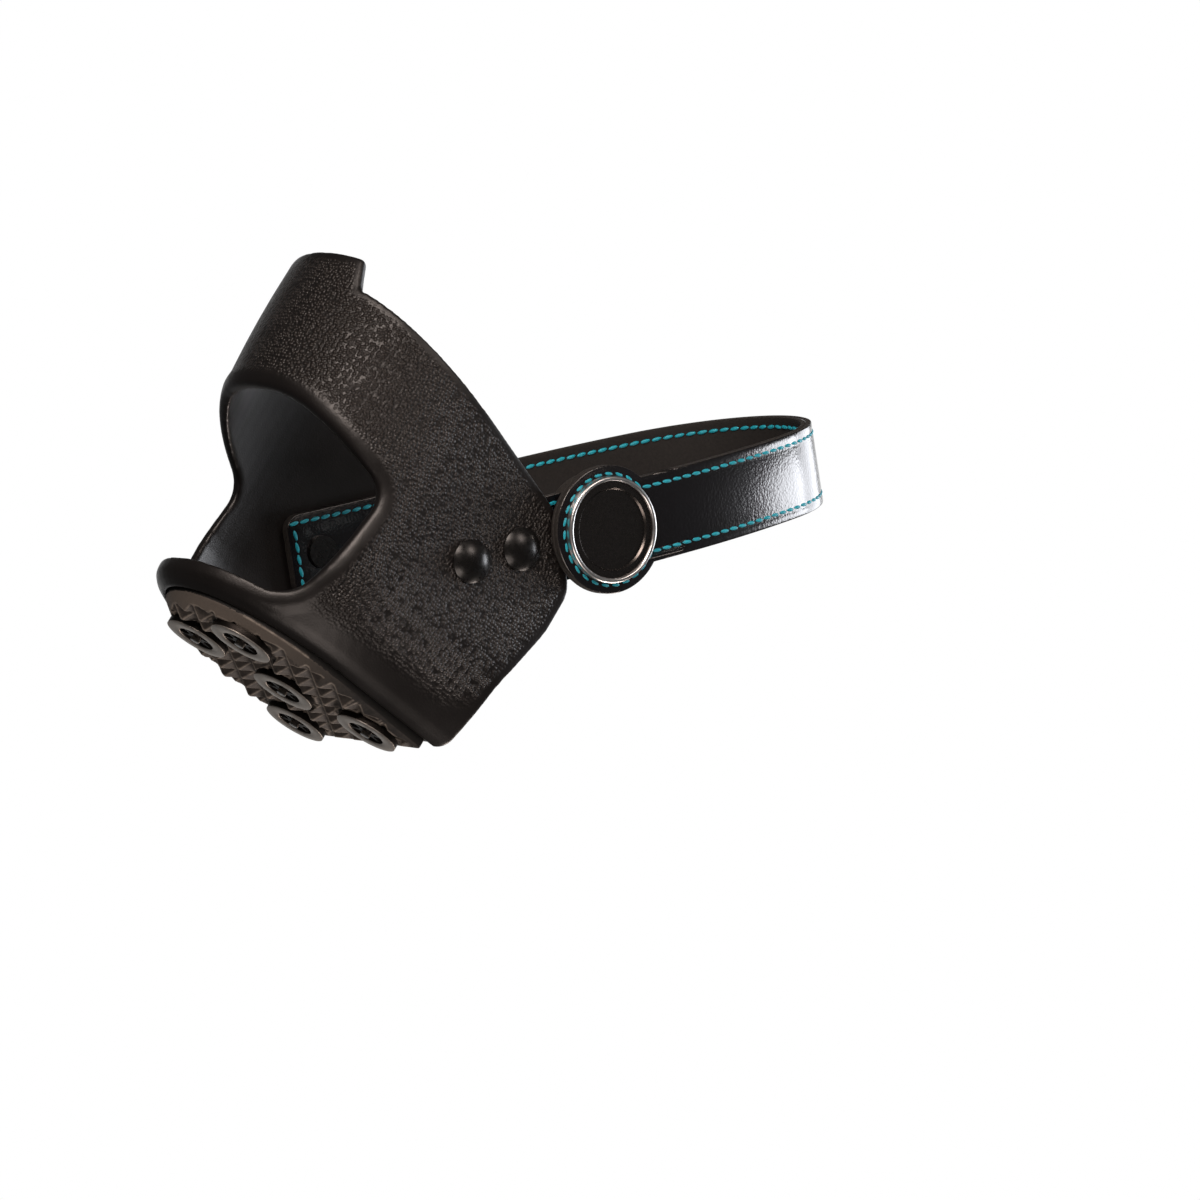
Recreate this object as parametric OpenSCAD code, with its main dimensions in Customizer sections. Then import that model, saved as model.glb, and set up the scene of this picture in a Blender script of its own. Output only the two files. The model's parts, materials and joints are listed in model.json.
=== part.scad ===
// Heel ice spur: a moulded heel shell on a studded tread, held on by a leather instep strap with two snaps.
// Lengths are in millimetres. +X points to the toe, +Y to the left and +Z up. The shell is drawn with X = 0
// at the middle stud, and the whole is then moved so that the origin is on the ground under its middle.

/* [Heel shell] */
// Length of the shell's bottom, from its back to its front edges
shell_length = 70; // [66:0.5:80]
// Width of the shell near its bottom
bottom_width = 59; // [55:0.5:66]
// Width of the shell across its side panels
panel_width = 73; // [70:0.5:84]
// Length of the rounded back, at the bottom
heel_round = 46; // [40:0.5:52]
// How far the collar stands behind the bottom
collar_overhang = 13; // [8:0.5:15]
// Thickness of the moulded wall
wall = 3; // [2.4:0.1:3.6]
// Thickness of the floor that the heel stands on
floor_thickness = 2.5; // [2:0.1:3.5]
// Radius of the rolled bottom edge
roll_radius = 3.5; // [2:0.1:4]
// Height of the collar's edge at the back
collar_height = 84; // [80:0.5:92]
// Length of the level stretch of the collar's edge, from the back forwards
collar_level = 8; // [5:0.5:10]
// Height of the pull tab above the collar's edge
pull_tab_height = 8; // [5:0.5:12]
// Half of the angle that the foot of the pull tab takes up at the back, in degrees
pull_tab_angle = 32; // [26:1:40]
// Lean of the pull tab's ends, in degrees
pull_tab_lean = 24; // [0:1:30]
// Length of the ear's edge above the line of its tab
ear_edge = 6; // [3:0.5:9]
// How far the ears stand in front of the bottom
ear_forward = 4; // [1:0.5:7]
// Height of the front edges' waist above the ground
waist_height = 24; // [20:0.5:28]
// Height above the waist where the ears begin
ear_rise = 18; // [15:0.5:21]
// Radius of the ear's lower corner
ear_radius = 7; // [3:0.5:8]
// Radius of the panels' sharper corners
edge_radius = 3; // [1:0.5:4]

/* [Back window] */
// Height of the rim under the window, above the bottom edge
rim_height = 6.5; // [5.5:0.5:9]
// Length of the side panels, from the window to the front edges, at the rim
panel_length = 54.5; // [50:0.5:58]
// Forward lean of the window's front edges, in degrees
window_lean = 6; // [0:1:12]
// Height of the window's top edge at its front
window_front_height = 44; // [40:0.5:48]
// Height of the window's top edge at the back
window_back_height = 54.5; // [50:0.5:60]
// Length over which the window's top edge rises
window_rise_length = 26; // [20:0.5:30]
// Radius of the window's corners
window_radius = 7; // [4:0.5:9]

/* [Tread] */
// Distance from the shell's back to the middle stud
middle_stud_back = 40.5; // [39:0.5:45]
// Gap between the shell's rolled edge and the tread
groove_width = 0.8; // [0.5:0.1:1.5]
// Thickness of the tread between its field and its seat
tread_thickness = 4.1; // [3.8:0.1:5.5]
// Depth of the tread's seat in the shell
seat_depth = 2; // [1:0.1:3]
// Width of the sloping border
border_width = 4.5; // [3:0.5:6]
// How far the border's upper edge falls from the back to the front
border_fall = 1.8; // [0:0.1:2]
// Height of the pointed lugs
lug_height = 2; // [1:0.1:2.2]
// Spacing of the lugs
lug_pitch = 6.2; // [5:0.1:8]
// Width of a lug's tip
lug_tip = 0.8; // [0.4:0.1:1.2]
// Width of the floor between lugs
lug_gap = 0.6; // [0.4:0.1:1.2]
// Angle of the rows of lugs, in degrees
lug_angle = 45; // [40:1:50]

/* [Studs] */
// Diameter of a stud's flat ring
stud_diameter = 15.8; // [13:0.1:17]
// Thickness of the ring
stud_flange = 1.6; // [1.2:0.1:2]
// Diameter of the ring's recess
stud_recess = 9.3; // [8:0.1:10.5]
// Depth of the recess
stud_recess_depth = 1; // [0.6:0.1:1.1]
// Diameter of the stud's hub
stud_hub = 4.2; // [3.6:0.1:5]
// Width of a spoke in the recess
spoke_width = 1; // [0.6:0.1:1.4]
// Spokes in each recess
spoke_count = 6; // [4:1:8]
// Diameter of the stud's shank
stud_shank = 6; // [5:0.1:8]
// Diameter of the hard pin
pin_diameter = 2.4; // [1.8:0.1:3]
// How far the pin stands out of the ring
pin_out = 0.6; // [0.4:0.1:1]
// Clearance round a stud in the tread
stud_clearance = 1.2; // [0.6:0.1:1.6]
// Distance from the middle stud back to the rear pair
rear_stud_back = 21.7; // [19:0.1:23]
// Spacing of the rear pair
rear_stud_spacing = 21; // [19:0.1:22]
// Distance from the middle stud forward to the front pair
front_stud_forward = 16.2; // [14:0.1:18]
// Spacing of the front pair
front_stud_spacing = 33; // [24:0.1:33.5]

/* [Tabs and rivets] */
// Width of a leather tab
tab_width = 21; // [18:0.5:23]
// Thickness of a leather tab
tab_thickness = 2.6; // [2:0.1:3.2]
// Angle of the tabs above the ground, in degrees
tab_angle = 46; // [40:1:52]
// Radius of the tab's lower corners
tab_corner = 4; // [2:0.5:6]
// How far the tab's round end stays inside the strap's
tab_margin = 2; // [1:0.5:3]
// Length of a tab behind its lower rivet
tab_tail = 9; // [7:0.5:11]
// Distance from the snap to the upper rivet
rivet_distance = 24.1; // [21.5:0.1:27]
// Spacing of a tab's two rivets
rivet_spacing = 14.5; // [11:0.1:17]
// Diameter of a rivet's domed cap
rivet_cap = 10.4; // [8:0.1:11]
// Height of the dome
rivet_dome = 2.5; // [1.8:0.1:3]
// Diameter of a rivet's tube
rivet_tube = 4; // [3.4:0.1:4.6]
// Diameter of a rivet's inside flange
rivet_flange = 8; // [7:0.1:9]
// Thickness of the rivets' and snaps' sheet metal
sheet = 0.8; // [0.6:0.1:1]

/* [Snaps] */
// Height of the snaps above the ground
snap_height = 71.7; // [68:0.1:76]
// Distance from the ears' front back to the snaps
snap_setback = 1; // [0:0.5:4]
// Distance from a snap to the ear's edge
ear_distance = 12; // [10:0.5:13]
// Diameter of a snap's cap
cap_diameter = 25.8; // [23:0.1:27]
// Height of the cap
cap_height = 1.7; // [1.6:0.1:3]
// Width of the cap's bright rim
cap_rim = 1.2; // [0.8:0.1:2]
// Depth of the cap's face below its rim
cap_recess = 0.6; // [0.4:0.1:0.8]
// Diameter of the step in the cap's face
cap_step = 20; // [16:0.1:21]
// Diameter of the snap stud's head
snap_head = 6.8; // [6:0.1:7.6]
// Diameter of the snap's socket, and of the flanges on the tab
snap_flange = 13; // [12.4:0.1:15]
// Diameter of the posts that hold the snap's halves
snap_post = 4; // [3:0.1:4.6]
// Diameter of the socket's spring wire
spring_wire = 0.7; // [0.5:0.1:0.8]

/* [Strap] */
// Width of the strap
strap_width = 21; // [18:0.5:23]
// Thickness of the outer leather
outer_leather = 1.6; // [1.2:0.1:2]
// Thickness of the lining
lining_leather = 1.2; // [0.8:0.1:1.6]
// Diameter of the strap's round ends
paddle_diameter = 31; // [28.5:0.5:33]
// Flat length of the strap from a snap's middle
strap_flat = 20; // [18:0.5:26]
// Reach of the strap from the snaps to the crown
strap_reach = 87; // [80:0.5:98]
// Turn of the strap's long sides before the crown, in degrees
strap_side_turn = 16; // [10:1:22]
// Angle of the strap above the ground, in degrees
strap_angle = 47; // [40:1:55]

/* [Clearances] */
// Close clearance of snap heads, stud pins and rivet posts in their bores
close_fit = 0.05; // [0.02:0.01:0.1]
// Clearance round posts and rivets in leather and shell
post_fit = 0.1; // [0.05:0.01:0.2]
// Gap between the shell's panel and the strap
strap_gap = 0.4; // [0.3:0.1:1]
// Gap between a snap's socket and the flange of its stud
socket_gap = 0.3; // [0.3:0.1:0.5]
// Gap over the snap's head, inside its socket
head_gap = 0.2; // [0.2:0.1:0.4]
// Gap where the strap's ends are parted from its band
split_gap = 0.2; // [0.1:0.1:0.4]
// How far the lugs stay back from the faces of the studs
lug_setback = 0.1; // [0:0.1:0.4]

/* [Hidden] */
$fn = 48;
SIDES = ["left", "right"];
LEVELS = ["upper", "lower"];
STUDS = ["middle", "rear_left", "rear_right", "front_left", "front_right"];

// Colours
moulded_black = [0.10, 0.09, 0.09];
rubber_grey = [0.17, 0.16, 0.15];
steel_grey = [0.55, 0.54, 0.52];
carbide_grey = [0.35, 0.34, 0.33];
leather_black = [0.06, 0.06, 0.07];
lining_black = [0.12, 0.11, 0.11];
rivet_black = [0.04, 0.04, 0.04];
nickel = [0.78, 0.78, 0.76];

// Margins that keep cuts clear of the faces they end at
cut = 1;
far = 200;
seat_margin = 0.5;

// Heights, from the ground up
stud_face_z = pin_out;
stud_seat_z = stud_face_z + stud_flange;
lug_tip_z = stud_face_z + lug_setback;
field_z = lug_tip_z + lug_height;
seat_z = field_z + tread_thickness;
bottom_height = seat_z - seat_depth;

// Shell, from the middle stud
front_x = shell_length - middle_stud_back;
back_x = -middle_stud_back;
collar_back_x = back_x - collar_overhang;
ear_x = front_x + ear_forward;
top_z = collar_height + pull_tab_height;
floor_z = seat_z + floor_thickness;
rim_z = bottom_height + rim_height;
panel_y = panel_width / 2;
collar_centre_x = collar_back_x + panel_y;
inner_y = panel_y - wall;
section_power = 2.15;
section_steps = 36;
low_levels = 6;
high_levels = 10;
corner_steps = 6;

// Snaps and tabs, in the plane of a side panel
snap_x = ear_x - snap_setback;
snap_point = [snap_x, snap_height];
tab_way = [cos(tab_angle), sin(tab_angle)];
tab_across = [-sin(tab_angle), cos(tab_angle)];
tab_length = rivet_distance + rivet_spacing + tab_tail;
tab_end = paddle_diameter - 2 * tab_margin;
tab_low_z = snap_height - tab_length * sin(tab_angle) - tab_width / 2 * cos(tab_angle);
tab_rear_x = snap_x - tab_length * cos(tab_angle) - tab_width / 2 * sin(tab_angle);
rivet_places = [-rivet_distance, -rivet_distance - rivet_spacing];

// The panels are flat where the tabs lie: above flat_z and in front of flat_x
flat_z = tab_low_z - seat_margin;
flat_x = tab_rear_x - seat_margin;

// Tread and studs
tread_inset = roll_radius + groove_width;
tread_front_x = front_x - tread_inset;
tread_ring_z = bottom_height + roll_radius;
border_top_z = (field_z + seat_z) / 2;
shank_top_z = seat_z - cut;
spoke_z = stud_face_z + stud_recess_depth / 3;
stud_places = [
    [0, 0],
    [-rear_stud_back, rear_stud_spacing / 2],
    [-rear_stud_back, -rear_stud_spacing / 2],
    [front_stud_forward, front_stud_spacing / 2],
    [front_stud_forward, -front_stud_spacing / 2]
];

// Snap stack, outwards from the tab
tab_inner_y = inner_y - tab_thickness;
rivet_bore = rivet_tube - sheet;
strap_y = panel_y + strap_gap;
lining_top = strap_y + lining_leather;
leather_top = lining_top + outer_leather;
stud_base_y = inner_y + sheet;
socket_y = stud_base_y + socket_gap;
socket_roof_y = strap_y - sheet;
head_top_y = socket_roof_y - head_gap;
spring_y = (socket_y + socket_roof_y) / 2;
spring_radius = snap_head / 2 + 2 * spring_wire;

// Strap, in its own plane: along the strap from the snaps, and across the foot
strap_split = strap_flat - 2 * cut;
strap_thickness = lining_leather + outer_leather;
run = strap_reach - strap_thickness - strap_flat;
turn_sin = sin(strap_side_turn);
turn_cos = cos(strap_side_turn);
turn_divisor = turn_sin * turn_cos - (1 - turn_sin) * (1 - turn_cos);
side_radius = (run * turn_cos - strap_y * (1 - turn_sin)) / turn_divisor;
crown_radius = (strap_y * turn_sin - run * (1 - turn_cos)) / turn_divisor;
crown_x = strap_reach - strap_thickness - crown_radius;
side_steps = 6;
crown_steps = 14;

// The middle of the whole, from the middle stud
reach_x = snap_x + strap_reach * cos(strap_angle) + strap_width / 2 * sin(strap_angle);
middle_x = (reach_x + collar_back_x) / 2;

// Shape helpers
function clamp01(v) = min(1, max(0, v));
function unit(v) = v / norm(v);
function turned(v, a) = [v.x * cos(a) - v.y * sin(a), v.x * sin(a) + v.y * cos(a)];
function corner(a, b, c, r) =
    let (
        u = unit(a - b),
        v = unit(c - b),
        half = acos(u * v) / 2,
        centre = b + unit(u + v) * r / sin(half),
        start = b + u * r / tan(half) - centre,
        way = -sign(u.x * v.y - u.y * v.x)
    )
    [for (i = [0:corner_steps]) centre + turned(start, way * (180 - 2 * half) * i / corner_steps)];
// An outline with round corners, from points given as [x, y, radius]
function rounded(list) =
    let (n = len(list), p = [for (q = list) [q.x, q.y]])
    [for (i = [0:n - 1]) each
        list[i][2] == 0 ? [p[i]] : corner(p[(i + n - 1) % n], p[i], p[(i + 1) % n], list[i][2])];
// Where two lines meet, each given by a point and a direction
function meet(p, d, q, e) = p + d * ((q.x - p.x) * e.y - (q.y - p.y) * e.x) / (d.x * e.y - d.y * e.x);
function raised(outline, z) = [for (p = outline) [p.x, p.y, z]];

// Horizontal sections of the shell
function swell(z, low, high) = sin(90 * clamp01((z - low) / (high - low)));
function roll(z) =
    let (rise = bottom_height + roll_radius - z)
    rise > 0 ? roll_radius - sqrt(max(0, roll_radius * roll_radius - rise * rise)) : 0;
function half_width(z) =
    bottom_width / 2 + (panel_width - bottom_width) / 2 * swell(z, bottom_height, flat_z);
function section_back(z) = back_x - collar_overhang * swell(z, bottom_height, collar_height);
function curve_x(z) =
    let (low_x = back_x + heel_round)
    low_x + (flat_x - low_x) * swell(z, bottom_height, flat_z);
function rounded_back(start, back, half) =
    [for (i = [0:section_steps])
        let (a = -90 + 180 * i / section_steps, k = 2 / section_power)
        [start - (start - back) * pow(cos(a), k), half * sign(a) * pow(abs(sin(a)), k)]];
function section(z, inset, front) =
    let (half = half_width(z) - roll(z) - inset, back = section_back(z) + roll(z) + inset)
    concat([[front, -half]], rounded_back(curve_x(z), back, half), [[front, half]]);

// Solid through a stack of outlines with equal counts of points
module skin(rings) {
    n = len(rings[0]);
    m = len(rings);
    faces = concat(
        [[for (i = [n - 1:-1:0]) i]],
        [for (k = [0:m - 2]) for (i = [0:n - 1])
            let (a = k * n + i, b = k * n + (i + 1) % n) each [[a, b, b + n], [a, b + n, a + n]]],
        [[for (i = [0:n - 1]) (m - 1) * n + i]]
    );
    polyhedron(points = [for (r = rings) each r], faces = faces);
}

// An outline of X and Z, extruded across the foot
module across(outline) {
    rotate([90, 0, 0]) linear_extrude(far, center = true) polygon(outline);
}

// A turned piece with its axis across the foot
module turned_across() {
    rotate([-90, 0, 0]) children();
}

// A round bar across the foot, from y0 to y1
module bar(y0, y1, diameter) {
    translate([0, y0, 0]) turned_across() cylinder(d = diameter, h = y1 - y0);
}

// Children drawn on the left are mirrored to the right
module on_side(side) {
    mirror([0, side == "right" ? 1 : 0, 0]) children();
}

// A place on the tab's line, u along it from the snap
module on_tab(u) {
    translate([snap_x, 0, snap_height]) rotate([0, -tab_angle, 0]) translate([u, 0, 0]) children();
}

// The strap's own frame, X along the strap from the snaps and Z across its width
module on_strap() {
    translate([snap_x, 0, snap_height]) rotate([0, -strap_angle, 0]) children();
}

module placed() {
    translate([-middle_x, 0, 0]) children();
}

// Heel shell
function spread(low, high, count) = [for (i = [1:count]) low + (high - low) * i / count];
function shell_levels() = concat(
    [for (i = [0:3]) bottom_height + roll_radius * (1 - cos(30 * i))],
    spread(bottom_height + roll_radius, flat_z, low_levels),
    spread(flat_z, top_z + cut, high_levels)
);
function cavity_levels() = concat(
    [floor_z],
    spread(floor_z, flat_z, low_levels),
    spread(flat_z, top_z + 2 * cut, high_levels)
);
function side_outline() =
    let (
        ear = snap_point - tab_way * ear_distance,
        ear_top = ear + tab_across * ear_edge,
        ear_low = meet(ear, tab_across, [ear_x, 0], [0, 1])
    )
    rounded([
        [-far, bottom_height, 0],
        [front_x, bottom_height, edge_radius],
        [front_x, waist_height, 2 * ear_rise],
        [ear_x, waist_height + ear_rise, ear_rise],
        [ear_low.x, ear_low.y, ear_radius],
        [ear_top.x, ear_top.y, edge_radius],
        [collar_back_x + collar_level, collar_height, edge_radius],
        [-far, collar_height, 0]
    ]);
function window_outline() =
    let (
        rim_x = front_x - panel_length,
        top_x = rim_x + (window_front_height - rim_z) * tan(window_lean)
    )
    rounded([
        [-far, rim_z, 0],
        [rim_x, rim_z, window_radius],
        [top_x, window_front_height, window_radius],
        [top_x - window_rise_length, window_back_height, 2 * window_radius],
        [-far, window_back_height, 0]
    ]);

// The room that the pull tab takes up behind the collar's centre, between two leaning planes
module pull_tab_room() {
    difference() {
        translate([collar_centre_x - far, -far / 2, 0]) cube([far, far, top_z]);
        for (side = SIDES) on_side(side)
            translate([collar_centre_x, 0, collar_height]) rotate([pull_tab_lean, 0, -pull_tab_angle])
                translate([-far, 0, -far]) cube([2 * far, far, 2 * far]);
    }
}

module heel_shell() {
    color(moulded_black) difference() {
        intersection() {
            skin([for (z = shell_levels()) raised(section(z, 0, ear_x + cut), z)]);
            union() {
                across(side_outline());
                pull_tab_room();
            }
        }
        skin([for (z = cavity_levels()) raised(section(z, wall, ear_x + 3 * cut), z)]);
        across(window_outline());
        translate([0, 0, bottom_height - cut])
            linear_extrude(seat_depth + cut) polygon(tread_outline(-groove_width / 2, front_x + far));
        for (side = SIDES) for (u = rivet_places)
            on_side(side) on_tab(u) bar(0, far, rivet_tube + 2 * post_fit);
    }
}

// Tread
function tread_outline(inset, front) = section(tread_ring_z, tread_inset + inset, front);
// The border's upper edge, which falls towards the front
function falling(outline) =
    [for (p = outline) [p.x, p.y, border_top_z - border_fall * clamp01((p.x - back_x) / shell_length)]];
// One groove between two rows of lugs, as an outline of X and Z
function groove_outline() =
    let (
        floor_half = lug_gap / 2,
        mouth_half = (lug_pitch - lug_tip) / 2,
        slope = (mouth_half - floor_half) / lug_height,
        below = mouth_half + slope * cut
    )
    [
        [-floor_half, field_z],
        [-below, lug_tip_z - cut],
        [below, lug_tip_z - cut],
        [floor_half, field_z]
    ];

module tread_plate() {
    grooves = ceil(shell_length / lug_pitch / 2);
    color(rubber_grey) difference() {
        skin([
            raised(tread_outline(border_width, tread_front_x - border_width), lug_tip_z),
            falling(tread_outline(0, tread_front_x)),
            raised(tread_outline(0, tread_front_x), seat_z)
        ]);
        for (angle = [-lug_angle, lug_angle]) for (i = [-grooves:grooves])
            rotate(angle) translate([(i + 0.5) * lug_pitch, 0, 0]) across(groove_outline());
        for (s = stud_places) translate([s.x, s.y, 0]) {
            translate([0, 0, -cut]) cylinder(d = stud_diameter + 2 * stud_clearance, h = stud_seat_z + cut);
            cylinder(d = stud_shank + 2 * post_fit, h = shank_top_z + post_fit);
        }
    }
}

// Studs
module stud() {
    color(steel_grey) difference() {
        union() {
            translate([0, 0, stud_face_z]) cylinder(d = stud_diameter, h = stud_flange);
            translate([0, 0, stud_seat_z]) cylinder(d = stud_shank, h = shank_top_z - stud_seat_z);
        }
        difference() {
            translate([0, 0, stud_face_z - cut]) cylinder(d = stud_recess, h = stud_recess_depth + cut);
            translate([0, 0, spoke_z]) cylinder(d = stud_hub, h = stud_recess_depth + cut);
            for (i = [0:spoke_count - 1]) rotate(360 * i / spoke_count)
                translate([0, -spoke_width / 2, spoke_z])
                    cube([stud_recess, spoke_width, stud_recess_depth + cut]);
        }
        cylinder(d = pin_diameter + 2 * close_fit, h = shank_top_z - cut + close_fit);
    }
}

module stud_pin() {
    color(carbide_grey) cylinder(d = pin_diameter, h = shank_top_z - cut);
}

// Leather tabs
module tab() {
    back_edge = rounded([
        [-tab_length, -tab_width / 2, tab_corner],
        [0, -tab_width / 2, 0],
        [0, tab_width / 2, 0],
        [-tab_length, tab_width / 2, tab_corner]
    ]);
    color(leather_black) difference() {
        on_tab(0) translate([0, inner_y, 0]) rotate([90, 0, 0]) linear_extrude(tab_thickness) {
            polygon(back_edge);
            circle(d = tab_end);
        }
        for (u = rivet_places) on_tab(u) bar(0, far, rivet_tube + 2 * post_fit);
        on_tab(0) bar(0, far, snap_post + 2 * post_fit);
    }
}

// Rivets: a domed cap with a tube, and a flanged post that enters the tube from inside
module rivet_cap() {
    base = 0.5;
    radius = rivet_cap / 2;
    ball = (radius * radius + (rivet_dome - base) * (rivet_dome - base)) / (2 * (rivet_dome - base));
    color(rivet_black) difference() {
        union() {
            bar(panel_y, panel_y + base, rivet_cap);
            intersection() {
                translate([0, panel_y + rivet_dome - ball, 0]) sphere(r = ball, $fn = 96);
                bar(panel_y + base, panel_y + 2 * rivet_dome, rivet_cap);
            }
            bar(tab_inner_y, panel_y + base, rivet_tube);
        }
        bar(tab_inner_y - cut, panel_y, rivet_bore);
    }
}

module rivet_post() {
    color(rivet_black) {
        bar(tab_inner_y - sheet, tab_inner_y, rivet_flange);
        bar(tab_inner_y - sheet, panel_y - cut, rivet_bore - 2 * close_fit);
    }
}

// Snaps: a stud on the tab with its post, and a cap and sprung socket on the strap
module snap_stud() {
    color(nickel) difference() {
        union() {
            bar(inner_y, stud_base_y, snap_flange);
            bar(inner_y, head_top_y, snap_head);
        }
        bar(inner_y - cut, head_top_y - sheet / 2, snap_post + 2 * close_fit);
    }
}

module snap_post_piece() {
    color(nickel) {
        bar(tab_inner_y - sheet, tab_inner_y, snap_flange);
        bar(tab_inner_y - sheet, head_top_y - sheet, snap_post);
    }
}

module snap_cap() {
    r = cap_diameter / 2;
    face = cap_height - cap_recess;
    soft = 0.5;
    step = 0.3;
    color(nickel) {
        translate([0, leather_top, 0]) turned_across() rotate_extrude() polygon([
            [0, 0], [r, 0], [r, cap_height - soft], [r - soft, cap_height], [r - cap_rim, cap_height],
            [r - cap_rim - step, face], [cap_step / 2, face], [cap_step / 2 - step, face - step], [0, face - step]
        ]);
        bar(socket_roof_y, leather_top, snap_post);
    }
}

module snap_socket() {
    color(nickel) difference() {
        bar(socket_y, strap_y, snap_flange);
        bar(socket_y - cut, socket_roof_y, snap_head + 2 * close_fit);
        bar(spring_y - spring_wire, spring_y + spring_wire, 2 * (spring_radius + spring_wire));
        bar(socket_y, strap_y + cut, snap_post + 2 * post_fit);
    }
}

module snap_spring() {
    opening = 50;
    color(steel_grey) translate([0, spring_y, 0]) turned_across()
        rotate_extrude(angle = 360 - opening) translate([spring_radius, 0]) circle(d = spring_wire);
}

// Strap
function strap_half(off) = concat(
    [[strap_split + split_gap, strap_y + off]],
    [for (i = [0:side_steps])
        let (a = strap_side_turn * i / side_steps)
        [strap_flat + (side_radius + off) * sin(a), strap_y - side_radius + (side_radius + off) * cos(a)]],
    [for (i = [1:crown_steps])
        let (a = strap_side_turn + (90 - strap_side_turn) * i / crown_steps)
        [crown_x + (crown_radius + off) * sin(a), (crown_radius + off) * cos(a)]]
);
function reversed(list) = [for (i = [len(list) - 1:-1:0]) list[i]];
function flipped(list) = [for (p = list) [p.x, -p.y]];
function strap_line(off) =
    let (half = strap_half(off), last = len(half) - 1)
    concat(half, flipped(reversed([for (i = [0:last - 1]) half[i]])));

module strap_ply(inner, outer) {
    on_strap() linear_extrude(strap_width, center = true)
        polygon(concat(strap_line(inner), reversed(strap_line(outer))));
}

module strap_end(y0, y1) {
    on_strap() difference() {
        union() {
            bar(y0, y1, paddle_diameter);
            translate([0, y0, -strap_width / 2]) cube([strap_split, y1 - y0, strap_width]);
        }
        bar(0, far, snap_post + 2 * post_fit);
    }
}

module strap_outer() {
    color(leather_black) strap_ply(lining_leather, strap_thickness);
}

module strap_lining() {
    color(lining_black) strap_ply(0, lining_leather);
}

module strap_end_outer() {
    color(leather_black) strap_end(lining_top, leather_top);
}

module strap_end_lining() {
    color(lining_black) strap_end(strap_y, lining_top);
}

placed() heel_shell();
placed() tread_plate();
for (i = [0:len(STUDS) - 1]) {
    place = [stud_places[i].x, stud_places[i].y, 0];
    placed() translate(place) stud();
    placed() translate(place) stud_pin();
}
for (side = SIDES) {
    placed() on_side(side) tab();
    for (i = [0, 1]) {
        name = str(side, "_", LEVELS[i]);
        placed() on_side(side) on_tab(rivet_places[i]) rivet_cap();
        placed() on_side(side) on_tab(rivet_places[i]) rivet_post();
    }
    placed() on_side(side) on_tab(0) snap_stud();
    placed() on_side(side) on_tab(0) snap_post_piece();
    placed() on_side(side) strap_end_outer();
    placed() on_side(side) strap_end_lining();
    placed() on_side(side) on_tab(0) snap_cap();
    placed() on_side(side) on_tab(0) snap_socket();
    placed() on_side(side) on_tab(0) snap_spring();
}
placed() strap_outer();
placed() strap_lining();
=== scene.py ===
# Heel ice spur: a moulded heel shell with a studded tread and a stitched instep strap.
import json
import math

import bmesh
import bpy
from bpy.props import FloatProperty, FloatVectorProperty, IntProperty, PointerProperty
from mathutils import Matrix, Vector
from mathutils.kdtree import KDTree

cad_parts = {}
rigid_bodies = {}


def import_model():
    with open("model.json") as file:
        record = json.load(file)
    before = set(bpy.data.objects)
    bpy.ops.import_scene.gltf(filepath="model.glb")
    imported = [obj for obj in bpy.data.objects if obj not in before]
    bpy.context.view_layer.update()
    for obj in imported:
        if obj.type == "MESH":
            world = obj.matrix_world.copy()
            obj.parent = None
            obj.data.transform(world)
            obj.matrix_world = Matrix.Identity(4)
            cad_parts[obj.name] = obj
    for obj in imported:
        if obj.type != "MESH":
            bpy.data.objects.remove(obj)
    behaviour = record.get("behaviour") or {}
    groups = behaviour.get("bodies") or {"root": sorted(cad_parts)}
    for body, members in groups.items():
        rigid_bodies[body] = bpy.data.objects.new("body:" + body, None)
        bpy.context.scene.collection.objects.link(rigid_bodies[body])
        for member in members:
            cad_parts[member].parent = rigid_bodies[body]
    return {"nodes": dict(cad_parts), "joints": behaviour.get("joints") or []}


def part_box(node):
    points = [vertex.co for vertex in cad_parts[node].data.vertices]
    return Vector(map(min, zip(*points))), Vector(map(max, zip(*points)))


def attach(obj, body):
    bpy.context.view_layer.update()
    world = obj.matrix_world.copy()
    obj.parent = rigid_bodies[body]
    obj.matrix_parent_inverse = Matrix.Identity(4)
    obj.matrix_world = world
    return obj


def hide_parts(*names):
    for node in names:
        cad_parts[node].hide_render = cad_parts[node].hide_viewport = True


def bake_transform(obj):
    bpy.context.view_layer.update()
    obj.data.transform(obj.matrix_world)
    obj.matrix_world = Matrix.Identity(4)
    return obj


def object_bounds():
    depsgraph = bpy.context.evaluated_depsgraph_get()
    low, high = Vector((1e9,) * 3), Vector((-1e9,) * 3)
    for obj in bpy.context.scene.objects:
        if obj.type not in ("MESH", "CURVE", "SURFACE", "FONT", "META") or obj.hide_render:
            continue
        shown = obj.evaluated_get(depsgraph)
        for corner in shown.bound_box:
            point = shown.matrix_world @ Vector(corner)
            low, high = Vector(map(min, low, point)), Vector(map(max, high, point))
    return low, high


bl_info = {
    "name": "Heel ice spur",
    "version": (1, 0, 0),
    "blender": (4, 5, 0),
    "location": "3D View > Sidebar > Heel spur",
    "description": "Dresses the solids of a heel ice spur in moulded rubber, stitched leather and metal",
    "category": "Object",
}

for leftover in list(bpy.data.objects):
    bpy.data.objects.remove(leftover)
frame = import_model()
NODES = frame["nodes"]
CAD_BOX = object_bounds()
MM = 0.001
NODE_WELD = 0.003 * MM
WELD = 0.001 * MM
SIDES = {"left": 1, "right": -1}
LEVELS = ("upper", "lower")
STUDS = ("middle", "rear_left", "rear_right", "front_left", "front_right")
SNAP = Vector(next(j["pos_m"] for j in frame["joints"] if j["name"] == "strap_swing"))


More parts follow.
